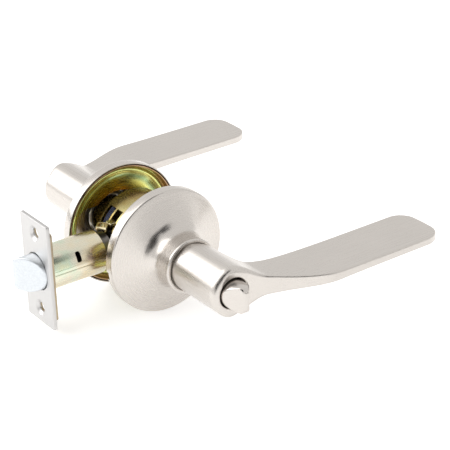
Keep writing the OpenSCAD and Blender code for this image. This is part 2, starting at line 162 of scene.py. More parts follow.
def strip(rings, closed_rings=True, closed_path=False):
    """Quads between rings of the same number of points, as indices into the flattened list."""
    count = len(rings[0])
    quads = []
    for i in range(len(rings) if closed_path else len(rings) - 1):
        for j in range(count if closed_rings else count - 1):
            low, high = i * count, (i + 1) % len(rings) * count
            k = (j + 1) % count
            quads.append((low + j, low + k, high + k, high + j))
    return quads


def turned(name, outline, side=1, angles=None, axis="Y"):
    """Closed (radius, station) outline turned about the Y or X axis, all round or between angles."""
    all_round = angles is None
    if all_round:
        angles = [math.tau * i / 144 for i in range(144)]
    rings = []
    for angle in angles:
        cos, sin = math.cos(angle), math.sin(angle)
        if axis == "Y":
            rings.append([(r * cos, side * s, r * sin) for r, s in outline])
        else:
            rings.append([(s, r * cos, r * sin) for r, s in outline])
    faces = strip(rings, closed_path=all_round)
    if not all_round:
        count = len(outline)
        faces.append(tuple(range(count)))
        faces.append(tuple((len(rings) - 1) * count + i for i in range(count)))
    return solid(name, [p for ring in rings for p in ring], faces)


def plate(name, loops, place):
    """Flat plate: each loop is a list of (outline, depth) rings; place maps (u, v, depth) to a point."""
    bm = bmesh.new()
    faces_of = {0: [], -1: []}
    for loop in loops:
        made = [[bm.verts.new(place(u, v, depth)) for u, v in outline] for outline, depth in loop]
        for low, high in zip(made, made[1:]):
            for i in range(len(low)):
                k = (i + 1) % len(low)
                bm.faces.new((low[i], low[k], high[k], high[i])).smooth = True
        for end in faces_of:
            ring = made[end]
            faces_of[end] += [bm.edges.get((ring[i - 1], ring[i])) for i in range(len(ring))]
    for edges in faces_of.values():
        filled = bmesh.ops.triangle_fill(bm, use_beauty=True, edges=edges)
        for part in filled["geom"]:
            if isinstance(part, bmesh.types.BMFace):
                part.smooth = False
    return sealed(name, bm)


def soft_wall(shape, depth, thickness, edge=0.3):
    """Rings of a plate's wall with rounded edges; shape(grow) is the outline grown by that much."""
    rings = []
    for angle in (0, 30, 60, 90):
        turn = math.radians(angle)
        rings.append((shape(-edge + edge * math.sin(turn)), depth + edge - edge * math.cos(turn)))
    for angle in (0, 30, 60, 90):
        turn = math.radians(angle)
        rings.append((shape(-edge + edge * math.cos(turn)),
                      depth + thickness - edge + edge * math.sin(turn)))
    return rings


def tube_along(name, path, radius, sides=12):
    """Round wire along a path of points, with flat ends."""
    points = [Vector(p) for p in path]
    rings = []
    normal = None
    for i, point in enumerate(points):
        ahead = points[min(i + 1, len(points) - 1)] - points[max(i - 1, 0)]
        ahead.normalize()
        if normal is None:
            normal = ahead.orthogonal().normalized()
        normal = (normal - ahead * normal.dot(ahead)).normalized()
        other = ahead.cross(normal)
        rings.append([tuple(point + radius * (math.cos(math.tau * j / sides) * normal
                                              + math.sin(math.tau * j / sides) * other))
                      for j in range(sides)])
    faces = strip(rings)
    faces.append(tuple(range(sides)))
    faces.append(tuple((len(rings) - 1) * sides + j for j in range(sides)))
    return solid(name, [p for ring in rings for p in ring], faces, merge=0)


def carved(mesh, *cutters):
    """The mesh with the cutters' meshes taken away."""
    collection = bpy.context.scene.collection
    body = bpy.data.objects.new("carved", mesh)
    collection.objects.link(body)
    tools = []
    for cutter in cutters:
        tool = bpy.data.objects.new("cutter", cutter)
        collection.objects.link(tool)
        tools.append(tool)
        step = body.modifiers.new("cut", "BOOLEAN")
        step.operation = "DIFFERENCE"
        step.solver = "EXACT"
        step.object = tool
    graph = bpy.context.evaluated_depsgraph_get()
    result = bpy.data.meshes.new_from_object(body.evaluated_get(graph))
    for thing in [body, *tools]:
        bpy.data.objects.remove(thing)
    return result


def joined(name, *meshes):
    """One mesh that holds several separate shells."""
    bm = bmesh.new()
    for mesh in meshes:
        bm.from_mesh(mesh)
    whole = bpy.data.meshes.new(name)
    bm.to_mesh(whole)
    bm.free()
    return whole


def piece(mesh, node, body, material, sharp=38, keep_flat=False):
    """Object that stands for a CAD node, rides on its body and wears the finish it is given."""
    obj = bpy.data.objects.new(node + "_detail", mesh)
    bpy.context.scene.collection.objects.link(obj)
    if not keep_flat:
        mesh.shade_smooth()
        mesh.set_sharp_from_angle(angle=math.radians(sharp))
    mesh.materials.clear()
    mesh.materials.append(material)
    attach(obj, body)
    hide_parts(node)
    return obj


# ---- Shapes from a field that is negative inside ----

def round_max(a, b, radius):
    """Intersection of two fields with a round edge."""
    reach = np.hypot(np.maximum(a + radius, 0), np.maximum(b + radius, 0))
    return np.minimum(np.maximum(a, b), -radius) + reach


def round_min(a, b, radius):
    """Union of two fields with a fillet."""
    reach = np.hypot(np.maximum(radius - a, 0), np.maximum(radius - b, 0))
    return np.maximum(np.minimum(a, b), radius) - reach


def skin(field, grid):
    """Quads on the field's zero surface. grid holds the points of a bent lattice, as (nx, ny, nz, 3)."""
    value = field(grid)
    inside = value < 0
    cells = tuple(n - 1 for n in value.shape)
    total = np.zeros(cells + (3,))
    count = np.zeros(cells)
    crossings = []
    for axis in range(3):
        start = [slice(None)] * 3
        stop = [slice(None)] * 3
        start[axis] = slice(None, -1)
        stop[axis] = slice(1, None)
        low, high = value[tuple(start)], value[tuple(stop)]
        crossed = inside[tuple(start)] != inside[tuple(stop)]
        share = np.where(crossed, low / np.where(crossed, low - high, 1), 0)[..., None]
        point = grid[tuple(start)] * (1 - share) + grid[tuple(stop)] * share
        point = np.where(crossed[..., None], point, 0)
        first, second = [k for k in range(3) if k != axis]
        for i in (0, 1):
            for j in (0, 1):
                near = [slice(None)] * 3
                near[first] = slice(i, value.shape[first] - 1 + i)
                near[second] = slice(j, value.shape[second] - 1 + j)
                total += point[tuple(near)]
                count += crossed[tuple(near)]
        crossings.append((crossed, inside[tuple(start)]))
    used = count > 0
    index = np.full(cells, -1)
    index[used] = np.arange(used.sum())
    verts = total[used] / count[used][:, None]
    quads = []
    for axis, (crossed, inner) in enumerate(crossings):
        first, second = [k for k in range(3) if k != axis]
        middle = [slice(None)] * 3
        middle[first] = slice(1, -1)
        middle[second] = slice(1, -1)
        place = np.argwhere(crossed[tuple(middle)])
        place[:, first] += 1
        place[:, second] += 1
        around = []
        for i, j in ((-1, -1), (0, -1), (0, 0), (-1, 0)):
            corner = place.copy()
            corner[:, first] += i
            corner[:, second] += j
            around.append(index[tuple(corner.T)])
        quads.append(np.stack(around, axis=1))
    verts = settled(field, verts)
    return verts.tolist(), np.concatenate(quads).tolist()


def settled(field, points, rounds=4, step=0.01, least_slope=0.05, most_move=0.4):
    """Points moved onto the field's zero surface."""
    for _ in range(rounds):
        slope = np.stack([(field(points + step * unit) - field(points - step * unit)) / (2 * step)
                          for unit in np.eye(3)], axis=-1)
        size = np.maximum((slope ** 2).sum(-1), least_slope)
        move = -(field(points) / size)[:, None] * slope
        points = points + np.clip(move, -most_move, most_move)
    return points


def lattice(xs, ys, zs, bend=None):
    grid = np.stack(np.meshgrid(xs, ys, zs, indexing="ij"), axis=-1).astype(float)
    return grid if bend is None else bend(grid)


# ---- Levers ----

def ease(t):
    t = np.clip(t, 0, 1)
    return t * t * (3 - 2 * t)


def arm_outer(x):
    """Front edge of the arm: flush with the shank's end, then sweeping outwards to the paddle."""
    sweep_start = 2
    sweep_length = 50
    return SHANK_END + (PADDLE_OUT - SHANK_END) * ease((x - sweep_start) / sweep_length)


def arm_inner(x):
    """Door-side edge of the arm: it leaves the shank and turns along the paddle."""
    corner_x = 10
    flare = 15
    fade = 4.5
    return np.maximum(PADDLE_IN - 20, PADDLE_IN + 0.2 - flare * np.exp(-(x - corner_x) / fade))


def arm_half(x):
    """Half thickness of the arm, deep at the shank and thin in the paddle."""
    root_swell = 8.8
    fade = 17
    return PADDLE_HALF + root_swell * np.exp(-np.maximum(x, 0) / fade)


def sloped(function, x):
    """Length of a slanted edge per millimetre of x, which turns a height above it into a distance."""
    return np.hypot(1, (function(x + 0.1) - function(x - 0.1)) / 0.2)


def lever_field(p):
    """Round shank and flat paddle, blended; the tip is slightly bowed."""
    x, y, z = p[..., 0], p[..., 1], p[..., 2]
    tip_r = 9.0
    paddle_edge = 0.8
    extra_root_edge = 2.5
    edge = paddle_edge + extra_root_edge * (1 - ease((x - 5) / 17))
    saddle = 7.0
    tip_crown = 0.9
    paddle_starts = 45
    shank = np.hypot(x, z) - SHANK_R
    height = np.abs(z) - arm_half(x)
    inner = (arm_inner(x) - y) / sloped(arm_inner, x)
    outer = (y - arm_outer(x)) / sloped(arm_outer, x)
    root = round_min(shank, round_max(inner, round_max(height, -x - 2, 1), edge), saddle)
    near = round_max(root, outer, edge)
    crown = tip_crown * ((y - (PADDLE_IN + PADDLE_OUT) / 2) / 15) ** 2
    along = x - (REACH - tip_r) + crown
    across = np.maximum(inner, outer) + tip_r
    plan = (np.hypot(np.maximum(along, 0), np.maximum(across, 0))
            + np.minimum(np.maximum(along, across), 0) - tip_r)
    far = round_max(plan, height, edge)
    whole = np.where(x > paddle_starts, far, near)
    return round_max(whole, SHANK_Y0 - y, 0.4)


def lever_bend(grid):
    """Lattice lines follow the arm's edges: y runs from edge to edge, z is a share of the thickness."""
    x, v, w = grid[..., 0], grid[..., 1], grid[..., 2]
    low, high = arm_inner(x), arm_outer(x)
    away = np.maximum(x, 0)
    deep = PADDLE_HALF + 8 * np.exp(-(away / 16) ** 2) + 4.5 * np.exp(-away / 20)
    return np.stack([x, low + v * (high - low), w * deep], axis=-1)


def lever_mesh(side):
    """Lever with its bore and set-screw way; the lattice is finer at the shank, edges and tip."""
    xs = np.concatenate([np.arange(-12.7, 26, 0.75), np.arange(26.3, 106, 1.6),
                         np.arange(106.5, REACH + 0.6, 0.7)])
    vs = np.concatenate([np.linspace(-0.52, -0.08, 14), np.linspace(-0.06, 0.08, 12),
                         np.linspace(0.11, 0.89, 22), np.linspace(0.91, 1.05, 15)])
    ws = np.concatenate([np.linspace(-1.4, -0.5, 14), np.linspace(-0.4, 0.4, 7),
                         np.linspace(0.5, 1.4, 14)])
    points, quads = skin(lever_field, lattice(xs, vs, ws, lever_bend))
    mesh = solid("lever", [(x, side * y, z) for x, y, z in points], quads, merge=0)
    bore = turned("bore", [
        (0, SHANK_Y0 - 1), (SPINDLE_BORE, SHANK_Y0 - 1), (SPINDLE_BORE, BORE_END),
        (TURN_HOLE_R, BORE_END), (TURN_HOLE_R, SHANK_END - 0.6), (TURN_HOLE_R + 0.15, SHANK_END - 0.2),
        (TURN_HOLE_R + 0.5, SHANK_END + 0.05), (TURN_HOLE_R + 0.5, SHANK_END + 2),
        (0, SHANK_END + 2)], side)
    screw_r = 2
    screw_y = side * (span("exterior_set_screw")[0].y + screw_r)
    screw_way = tube_along("screw_way", [(0, screw_y, -SHANK_R - 2), (0, screw_y, -SPINDLE_BORE + 1)],
                           screw_r + 0.05, 32)
    return carved(mesh, bore, screw_way)


# ---- Roses and liners ----

def rose_mesh(side):
    """Sheet bell with a neck and a rolled lip; the rim has a pry notch towards the latch."""
    sheet = 0.7
    neck_r = 14.2
    rim_y = FACE + 5.5
    lip_in = SHANK_R + 0.5
    rim_tilt, knee = math.radians(14), math.radians(26)
    fillet = 9.4
    face = (ROSE_R - neck_r - fillet * (1 - math.sin(knee))) / (math.sin(knee) - math.sin(rim_tilt))
    bell_y = rim_y + face * math.cos(rim_tilt) - (face - fillet) * math.cos(knee)

    def bell(degrees, grow):
        """Point where the surface is tilted that much: slightly hollow face, then the neck's fillet."""
        turn = math.radians(degrees)
        on_face = turn < knee
        shift = face - fillet if on_face else 0
        radius = (face if on_face else fillet) + grow
        return (neck_r + fillet + shift * math.sin(knee) - radius * math.sin(turn),
                bell_y + shift * math.cos(knee) - radius * math.cos(turn), 0)

    tilts = [16, 18, 20, 22, 24, 26] + list(range(30, 91, 4))
    outline = rounded(
        [(ROSE_R - sheet, FACE, 0.25), (ROSE_R, FACE, 0.25), (ROSE_R, rim_y, 1.1)]
        + [bell(tilt, 0) for tilt in tilts]
        + [(neck_r, LIP - 2.2, 0.3), (neck_r + 0.3, LIP - 1.7, 0.2), (neck_r + 0.3, LIP, 0.75),
           (lip_in, LIP, 0.5), (lip_in, LIP - 1.2, 0), (neck_r - sheet, LIP - 1.2, 0)]
        + [bell(tilt, sheet) for tilt in reversed(tilts)]
        + [(ROSE_R - sheet, rim_y - 0.55, 0.2)], steps=4)
    notch_z = -5.0
    notch_width = 4.5
    notch_rise = 1.6
    notch_half = math.degrees(notch_width / 2 / ROSE_R)
    notch_at = 180 + math.degrees(math.asin(-notch_z / ROSE_R))
    fine = [notch_at + s * notch_half * k for s in (-1, 1) for k in (0.5, 0.8, 0.98, 1.0)]
    coarse = [a for a in np.arange(0, 360, 2.5) if abs(a - notch_at) > notch_half + 0.6]
    angles = [math.radians(a) for a in sorted(coarse + fine + [notch_at])]
    rings = []
    for angle in angles:
        inside = abs(math.degrees(angle) - notch_at) < notch_half * 0.99
        ring = []
        for r, y in outline:
            lift = notch_rise if inside and y < FACE + 0.3 else 0
            ring.append((r * math.cos(angle), side * (y + lift), r * math.sin(angle)))
        rings.append(ring)
    return solid("rose", [p for ring in rings for p in ring], strip(rings, closed_path=True))


def liner_mesh(side):
    """Dished plate with a rolled rim, and a keyhole cut towards the latch."""
    rim = span("exterior_liner")[1].x
    well_r = 17.0
    slot_half = 12.0
    slot_end = 26.3
    sheet = 0.9
    front = flowing([(rim - 1.1, FACE + 0.2), (rim - 1.15, FACE + 2.6), (rim - 1.5, FACE + 3.8),
                     (rim - 2.2, FACE + 3.9), (rim - 2.9, FACE + 3.1), (rim - 3.7, FACE + 2.7),
                     (rim - 4.6, FACE + 3), (rim - 6.6, FACE + 4.2), (rim - 9.3, FACE + 4.9),
                     (well_r, FACE + 5)])
    back = flowing([(well_r, FACE + 5 + sheet), (rim - 9, FACE + 4.9 + sheet), (rim - 6.2, FACE + 5.2),
                    (rim - 4.3, FACE + 4), (rim - 3.4, FACE + 3.8), (rim - 2.4, FACE + 5),
                    (rim - 0.9, FACE + 5), (rim, FACE + 4.3), (rim, FACE + 2.2)])
    outline = front + [(well_r, FACE + 5)] + back + [(rim - 0.35, FACE + 1.5), (rim - 0.4, FACE + 0.2),
                                                  (rim - 0.55, FACE), (rim - 0.95, FACE)]
    mesh = turned("liner", outline, side)
    edge = math.sqrt(slot_end ** 2 - slot_half ** 2)
    chamfer = 3.0
    key = [(0, -slot_half), (-edge + chamfer, -slot_half)]
    first = math.atan2(slot_half - chamfer, -edge - 1)
    for k in range(9):
        turn = first + (math.tau - 2 * first) * k / 8
        key.append((slot_end * math.cos(turn), -slot_end * math.sin(turn)))
    key += [(-edge + chamfer, slot_half), (0, slot_half)]
    cutter = plate("key", [[(key, FACE - 1), (key, FACE + 8)]],
                   lambda u, v, depth: (u, side * depth, v))
    return carved(mesh, cutter)


# ---- Thumb-turn and release plug ----

def turn_field(p):
    """Round base, and a button whose two flats taper to the pinched edge."""
    x, y, z = p[..., 0], p[..., 1], p[..., 2]
    low, high = span("thumb_turn")
    tip = -low.y
    base_r = TURN_HOLE_R - 0.4
    button_r = TURN_HOLE_R - 0.7
    half_tip = 1.5
    flat_length = 11.5
    button_length = 13.5
    slope = (base_r - half_tip) / flat_length
    corner = 3.5
    base = round_max(np.hypot(x, z) - base_r, np.maximum(y - tip + button_length, -high.y - y), 0.5)
    flats = (np.abs(x) - half_tip - (tip - y) * slope) / math.hypot(1, slope)
    rise = np.abs(z) - button_r
    reach = y - tip
    plan = (np.hypot(np.maximum(rise + corner, 0), np.maximum(reach + corner, 0))
            + np.minimum(np.maximum(rise, reach) + corner, 0) - corner)
    barrel = np.maximum(np.hypot(x, z) - button_r, -high.y + 0.5 - y)
    button = round_max(np.maximum(plan, barrel), flats, 0.45)
    return round_min(base, button, 0.3)


def turn_mesh():
    low, high = span("thumb_turn")
    across = np.arange(-8, 8.2, 0.4)
    grid = lattice(across, np.arange(-high.y - 1, -low.y + 1, 0.45), across)
    points, quads = skin(turn_field, grid)
    return solid("turn", [(x, -y, z) for x, y, z in points], quads, merge=0)


def plug_mesh():
    key_r = 2
    key_depth = 5
    return turned("plug", rounded([
        (0, plug_low.y, 0), (plug_high.x, plug_low.y, 0), (plug_high.x, plug_high.y, 0.7),
        (key_r + 1, plug_high.y, 0.3), (key_r, plug_high.y - 0.8, 0.2),
        (key_r, plug_high.y - key_depth, 0), (0, plug_high.y - key_depth, 0)]))


# ---- Latch ----

def bolt_field(p):
    """Half-round bar with a flat on one side, and a bevel from the nose to the faceplate."""
    x, y, z = p[..., 0], p[..., 1], p[..., 2]
    low, high = span("latch_bolt")
    face = span("faceplate")[0].x
    radius = high.z
    edge_y = 4.4
    run = face - 0.3 - low.x
    rise = radius + edge_y
    size = math.hypot(run, rise)
    bevel = (-(x - low.x) * rise - (y - edge_y) * run) / size
    bar = round_max(np.hypot(y, z) - radius, y - high.y, 0.5)
    nose = round_max(bar, low.x - x, 0.9)
    return round_max(round_max(nose, bevel, 0.8), x - high.x, 0.4)


def bolt_mesh():
    grid = lattice(*[np.arange(low - 0.6, high + 0.8, 0.45) for low, high in zip(*span("latch_bolt"))])
    points, quads = skin(bolt_field, grid)
    return solid("bolt", points, quads, merge=0)


def rectangle(width, height, radius, steps=5):
    """Outline centred on the origin, as a function of how much it grows."""
    def shape(grow):
        w, h = width / 2 + grow, height / 2 + grow
        r = radius + grow
        return rounded([(-w, -h, r), (w, -h, r), (w, h, r), (-w, h, r)], steps)
    return shape


def hole(radius, v=0.0):
    """Round hole as a function of how much the metal round it grows."""
    def shape(grow):
        return [(a, b + v) for a, b in circle(radius - grow, 64)]
    return shape


def faceplate_mesh():
    low, high = span("faceplate")
    thick = high.x - low.x
    latch_r = span("latch_bolt")[1].z + 0.5
    loops = [soft_wall(rectangle(high.y - low.y, high.z - low.z, 0.9), 0, thick, 0.3),
             soft_wall(hole(latch_r), 0, thick, 0.25)]
    for s in (-1, 1):
        sink = [(4.45, 0), (4.25, 0.06), (4.1, 0.2), (2.75, 1.15), (2.6, 1.35), (2.6, thick - 0.1),
                (2.7, thick)]
        loops.append([(hole(r, s * PLATE_SCREW_Z)(0), depth) for r, depth in sink])
    return plate("faceplate", loops, lambda u, v, depth: (low.x + depth, u, v))


def back_plate_mesh():
    low, high = span("back_plate")
    thick = high.x - low.x
    loops = [soft_wall(rectangle(high.y - low.y, high.z - low.z, 1.5), 0, thick, 0.25),
             soft_wall(hole(span("latch_tube")[1].z), 0, thick, 0.1)]
    for s in (-1, 1):
        loops.append(soft_wall(hole(3.3, s * PLATE_SCREW_Z), 0, thick, 0.15))
    return plate("back_plate", loops, lambda u, v, depth: (low.x + depth, u, v))


def patch(x0, x1, z0, z1, corner=0.0):
    """Rectangle between two x and two z values."""
    return rounded([(x0, z0, corner), (x1, z0, corner), (x1, z1, corner), (x0, z1, corner)])


def tube_mesh():
    """Rolled tube with a window, a drain hole below and a joggled seam."""
    low, high = span("latch_tube")
    radius = high.z
    inner = radius - 1
    roll = 0.35
    outside = -14
    outline = rounded([(inner, low.x, 0.2), (radius, low.x, 0.2), (radius, high.x, roll),
                       (inner, high.x, roll)], 4)
    body = turned("tube", outline, axis="X")

    def cut(name, outline, depth):
        return plate(name, [[(outline, outside), (outline, depth)]], lambda u, v, depth: (u, depth, v))

    window = cut("window", patch(-45, -42.4, 3.2, 8, 0.9), -4)
    drain = tube_along("drain", [(-43, -3, outside), (-43, -3, -7)], 1.3, 24)
    seams = [cut("seam", patch(-58.4, -33, z - width / 2, z + width / 2), -radius + 0.4)
             for z, width in ((0.3, 0.6), (2.2, 0.3))]
    return carved(body, window, drain, *seams)


# ---- Chassis ----

def helix(radius, pitch_path, turns, axis, start=0.0, per_turn=40, side=1):
    """Points of a coil; pitch_path(share) gives the station along the axis."""
    path = []
    count = int(turns * per_turn)
    for i in range(count + 1):
        share = i / count
        angle = start + math.tau * turns * share
        station = pitch_path(share)
        if axis == "Y":
            path.append((radius * math.cos(angle), side * station, radius * math.sin(angle)))
        else:
            path.append((station, radius * math.cos(angle), radius * math.sin(angle)))
    return path


def torsion_spring_mesh(side):
    """Close coils with a leg that runs down to the spring plate."""
    low, high = span("exterior_spring")
    wire = 0.8
    radius = high.x - wire
    first, last = low.y + wire, high.y - wire - 0.3
    turns = 2.92
    last_angle = math.radians(-60)
    coil = helix(radius, lambda s: first + (last - first) * s, turns, "Y",
                 start=last_angle - math.tau * turns, side=side, per_turn=56)
    end = coil[-1]
    leg = [(end[0] * k, side * (last + (high.y - last) * t), end[2] * k)
           for k, t in ((0.995, 0.35), (0.985, 0.7), (0.98, 0.95))]
    return tube_along("spring", coil + leg, wire, 14)


def end_coils(share, dead=0.14):
    """Station of a compression spring: its first and last coils lie close together."""
    lead = 0.05
    if share < dead:
        return lead * share / dead
    if share > 1 - dead:
        return 1 - lead * (1 - share) / dead
    return lead + (1 - 2 * lead) * (share - dead) / (1 - 2 * dead)


def bolt_spring_mesh():
    low, high = span("bolt_spring")
    wire = 0.5
    length = high.x - low.x - 2 * wire
    path = helix(high.z - wire, lambda s: low.x + wire + length * end_coils(s), 8.5, "X")
    return tube_along("bolt_spring", path, wire, 10)


def retractor_spring_mesh():
    low, high = span("retractor_springs")
    wire = 0.3
    radius = high.y
    length = high.x - low.x - 2 * wire
    coils = []
    for s in (-1, 1):
        z = s * (high.z - radius)
        path = helix(radius - wire, lambda t: low.x + wire + length * end_coils(t), 9.5, "X", per_turn=20)
        coils.append(tube_along("coil", [(x, y, z + dz) for x, y, dz in path], wire, 8))
    return joined("retractor_springs", *coils)


def shield_mesh():
    low, high = span("chassis_shield")
    outer = high.x
    inner = outer - 1
    edge = 0.3
    outline = rounded([(inner, low.y, edge), (outer, low.y, edge), (outer, high.y, edge),
                       (inner, high.y, edge)], 3)
    reach = 125
    angles = [math.radians(a) for a in np.linspace(-reach, reach, 101)]
    return turned("shield", outline, angles=angles)


def bracket_mesh():
    """Open diamond with a floor, and a tongue from its far corner."""
    low, high = span("latch_bracket")
    height = high.z - low.z
    half_x, half_y = 4.0, 4.1
    corner = 0.5
    sheet = 0.6
    tongue_half = 2.4
    cx = low.x + half_x
    tongue_x = cx + half_x - sheet

    def diamond(k):
        def shape(grow):
            scale = k + grow / half_x
            return [(cx + a * scale, b * scale) for a, b in rounded(
                [(-half_x, 0, corner), (0, -half_y, corner), (half_x, 0, corner), (0, half_y, corner)], 4)]
        return shape

    def inner(grow):
        return diamond(0.8)(-grow)

    def tongue(grow):
        left, right, half = tongue_x - grow, high.x + grow, tongue_half + grow
        return rounded([(left, -half, 0.3), (right, -half, 0.3), (right, half, 0.3), (left, half, 0.3)], 3)

    def lying(name, *loops):
        return plate(name, loops, lambda u, v, depth: (u, v, depth))

    wall = lying("loop", soft_wall(diamond(1.0), low.z, height, 0.2), soft_wall(inner, low.z, height, 0.15))
    floor = lying("floor", soft_wall(diamond(0.88), low.z + 0.02, sheet, 0.1))
    blade = lying("tongue", soft_wall(tongue, low.z + sheet, height - sheet, 0.2))
    return joined("bracket", wall, floor, blade)


# ---- Materials ----

class Finish:
    """A node material under construction."""

    def __init__(self, name, metallic=1.0):
        self.material = bpy.data.materials.new(name)
        self.material.use_nodes = True
        self.tree = self.material.node_tree
        self.shader = self.tree.nodes["Principled BSDF"]
        self.shader.inputs["Metallic"].default_value = metallic

    def node(self, kind, **settings):
        made = self.tree.nodes.new("ShaderNode" + kind)
        for name, value in settings.items():
            setattr(made, name, value)
        return made

    def feed(self, socket, value):
        """Puts a number, a vector or another socket into a socket."""
        if isinstance(value, bpy.types.NodeSocket):
            self.tree.links.new(value, socket)
        else:
            socket.default_value = value

    def math(self, operation, a, b=0.0):
        made = self.node("Math", operation=operation)
        self.feed(made.inputs[0], a)
        self.feed(made.inputs[1], b)
        return made.outputs[0]

    def place(self):
        return self.node("TexCoord").outputs["Object"]

    def stretched(self, scale):
        made = self.node("Mapping")
        self.feed(made.inputs["Vector"], self.place())
        self.feed(made.inputs["Scale"], scale)
        return made.outputs[0]

    def polar(self):
        """Radius about the Y axis, height along it and the angle, as sockets."""
        split = self.node("SeparateXYZ")
        self.feed(split.inputs[0], self.place())
        x, y, z = split.outputs
        square = self.math("ADD", self.math("MULTIPLY", x, x), self.math("MULTIPLY", z, z))
        return self.math("SQRT", square), y, self.math("ARCTAN2", x, z)

    def ringed(self, fine, turn):
        """Coordinates whose noise runs in rings about the Y axis."""
        radius, height, angle = self.polar()
        made = self.node("CombineXYZ")
        self.feed(made.inputs[0], self.math("MULTIPLY", radius, fine))
        self.feed(made.inputs[1], self.math("MULTIPLY", height, fine))
        self.feed(made.inputs[2], self.math("MULTIPLY", angle, turn))
        return made.outputs[0]

    def noise(self, vector, scale=1.0, detail=3.0, roughness=0.55):
        made = self.node("TexNoise")
        self.feed(made.inputs["Vector"], vector)
        self.feed(made.inputs["Scale"], scale)
        self.feed(made.inputs["Detail"], detail)
        self.feed(made.inputs["Roughness"], roughness)
        return made.outputs["Fac"]

    def ranged(self, value, low, high, to_low, to_high):
        made = self.node("MapRange")
        for socket, number in zip(made.inputs[:5], (value, low, high, to_low, to_high)):
            self.feed(socket, number)
        return made.outputs[0]

    def ramp(self, value, stops):
        made = self.node("ValToRGB")
        elements = made.color_ramp.elements
        while len(elements) < len(stops):
            elements.new(0.5)
        for element, (at, colour) in zip(elements, stops):
            element.position = at
            element.color = (*colour, 1)
        self.feed(made.inputs[0], value)
        return made.outputs[0]

    def colour(self, value):
        self.feed(self.shader.inputs["Base Color"], value)

    def rough(self, value):
        self.feed(self.shader.inputs["Roughness"], value)

    def bump(self, height, distance, strength=1.0):
        made = self.node("Bump")
        self.feed(made.inputs["Height"], height)
        self.feed(made.inputs["Distance"], distance)
        self.feed(made.inputs["Strength"], strength)
        self.feed(self.shader.inputs["Normal"], made.outputs[0])


NICKEL_DARK = (0.62, 0.583, 0.547)
NICKEL_LIGHT = (0.68, 0.64, 0.60)


def nickel(name, vector_of, roughness=0.3, spread=0.05, depth=0.000008, tones=(NICKEL_DARK, NICKEL_LIGHT)):
    """Satin nickel, brushed along the lines of the coordinates that vector_of gives."""
    finish = Finish(name)
    streak = finish.noise(vector_of(finish), detail=4.0)
    cloud = finish.noise(finish.place(), scale=45.0, detail=2.0)
    tone = finish.math("ADD", finish.math("MULTIPLY", streak, 0.7), finish.math("MULTIPLY", cloud, 0.3))
    finish.colour(finish.ramp(tone, [(0.3, tones[0]), (0.7, tones[1])]))
    finish.rough(finish.ranged(streak, 0.3, 0.7, roughness - spread, roughness + spread))
    finish.bump(streak, depth)
    return finish.material


def lever_lines(finish):
    """Brushing along the shank near the spindle axis, and along the paddle further out."""
    fine = 2400.0
    split = finish.node("SeparateXYZ")
    finish.feed(split.inputs[0], finish.place())
    share = finish.ranged(split.outputs[0], 0.011, 0.02, 0.0, 1.0)
    made = finish.node("Mix", data_type="VECTOR")
    finish.feed(made.inputs["Factor"], share)
    finish.feed(made.inputs[4], finish.stretched((fine, 60.0, fine)))
    finish.feed(made.inputs[5], finish.stretched((50.0, fine, fine)))
    return made.outputs[1]


def plated(name, stops, scale, roughness, depth=0.00001, metallic=1.0):
    """Zinc or steel whose colour drifts in soft clouds, with fine drawing lines."""
    finish = Finish(name, metallic)
    cloud = finish.noise(finish.place(), scale=scale, detail=4.0, roughness=0.6)
    grain = finish.noise(finish.place(), scale=1500.0, detail=3.0)
    finish.colour(finish.ramp(cloud, stops))
    finish.rough(finish.ranged(grain, 0.3, 0.7, roughness - 0.06, roughness + 0.06))
    finish.bump(grain, depth)
    return finish.material


def dichromate_and_groove_shade():
    """Yellow chromate on the liner: pink rim, green bead, gold and green dish, and painted shade as a dark
    band at the groove.
    """
    finish = Finish("dichromate_and_groove_shade_liner")
    radius = finish.polar()[0]
    drift = finish.noise(finish.place(), scale=38.0, detail=3.0)
    share = finish.ranged(radius, 0.017, 0.0323, 0.0, 1.0)
    moved = finish.math("ADD", share, finish.math("MULTIPLY", finish.math("SUBTRACT", drift, 0.5), 0.35))
    # The dark brown stop at 0.88 is painted shade, placed at the radius of the groove between the bead and
    # the rim.
    bands = finish.ramp(moved, [
        (0.0, (0.86, 0.46, 0.10)), (0.2, (0.92, 0.74, 0.14)), (0.38, (0.90, 0.84, 0.24)),
        (0.54, (0.60, 0.82, 0.44)), (0.68, (0.90, 0.80, 0.26)), (0.80, (0.70, 0.86, 0.34)),
        (0.88, (0.36, 0.24, 0.08)), (1.0, (0.80, 0.52, 0.40))])
    finish.colour(bands)
    lines = finish.noise(finish.ringed(1600.0, 2.0), detail=3.0)
    finish.rough(finish.ranged(lines, 0.3, 0.7, 0.2, 0.34))
    finish.bump(lines, 0.000012)
    return finish.material


def zinc_tube():
    """Clear chromate on the drawn tube: cream with green, yellow and rose sheens along its length."""
    finish = Finish("clear_zinc_tube")
    cloud = finish.noise(finish.stretched((38.0, 60.0, 60.0)), detail=3.0)
    finish.colour(finish.ramp(cloud, [
        (0.28, (0.78, 0.58, 0.48)), (0.40, (0.80, 0.70, 0.50)), (0.50, (0.78, 0.74, 0.60)),
        (0.60, (0.64, 0.74, 0.58)), (0.72, (0.82, 0.76, 0.46))]))
    lines = finish.noise(finish.stretched((60.0, 1300.0, 1300.0)), detail=3.0)
    finish.rough(finish.ranged(lines, 0.3, 0.7, 0.2, 0.32))
    finish.bump(lines, 0.00001)
    return finish.material


def pale(name, colour_low, colour_high, roughness):
    """Moulded plastic with a faint mottle."""
    finish = Finish(name, metallic=0.0)
    cloud = finish.noise(finish.place(), scale=220.0, detail=3.0)
    finish.colour(finish.ramp(cloud, [(0.3, colour_low), (0.7, colour_high)]))
    finish.rough(finish.ranged(cloud, 0.3, 0.7, roughness - 0.05, roughness + 0.05))
    finish.bump(cloud, 0.00001)
    return finish.material


